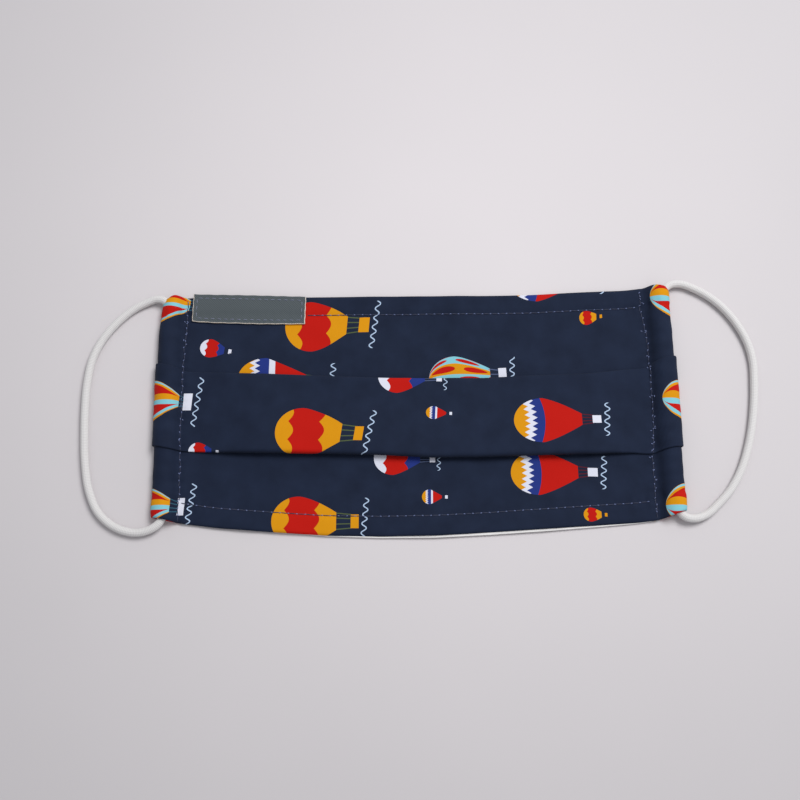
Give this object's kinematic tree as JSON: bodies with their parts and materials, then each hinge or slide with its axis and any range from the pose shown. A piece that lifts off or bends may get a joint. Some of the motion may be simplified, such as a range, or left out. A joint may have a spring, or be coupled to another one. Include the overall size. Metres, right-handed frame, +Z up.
{
  "type": "cloth face mask",
  "caption": "Pleated cloth face mask lying flat, with a printed front, plain lining, small sewn label and elastic ear loops through side casings.",
  "frame": {"origin": "centre of the underside of the mask's body, on the surface it lies on, the ear cords left out", "axes": "+X across the mask from the label's side to the other, +Y towards its top edge, +Z up off the surface, out of its front face"},
  "size_m": [0.2575, 0.0986, 0.0082],
  "materials": {
    "printed_cotton": "matt navy poplin with a small printed pattern",
    "white_cotton": "plain white cotton",
    "label_cloth": "matt grey ribbon, bare",
    "elastic": "fine knitted round elastic"
  },
  "bodies": {
    "root": {"outer_cloth": "printed_cotton", "lining": "white_cotton", "label": "label_cloth", "ear_cord_left": "elastic", "ear_cord_right": "elastic"}
  },
  "joints": []
}
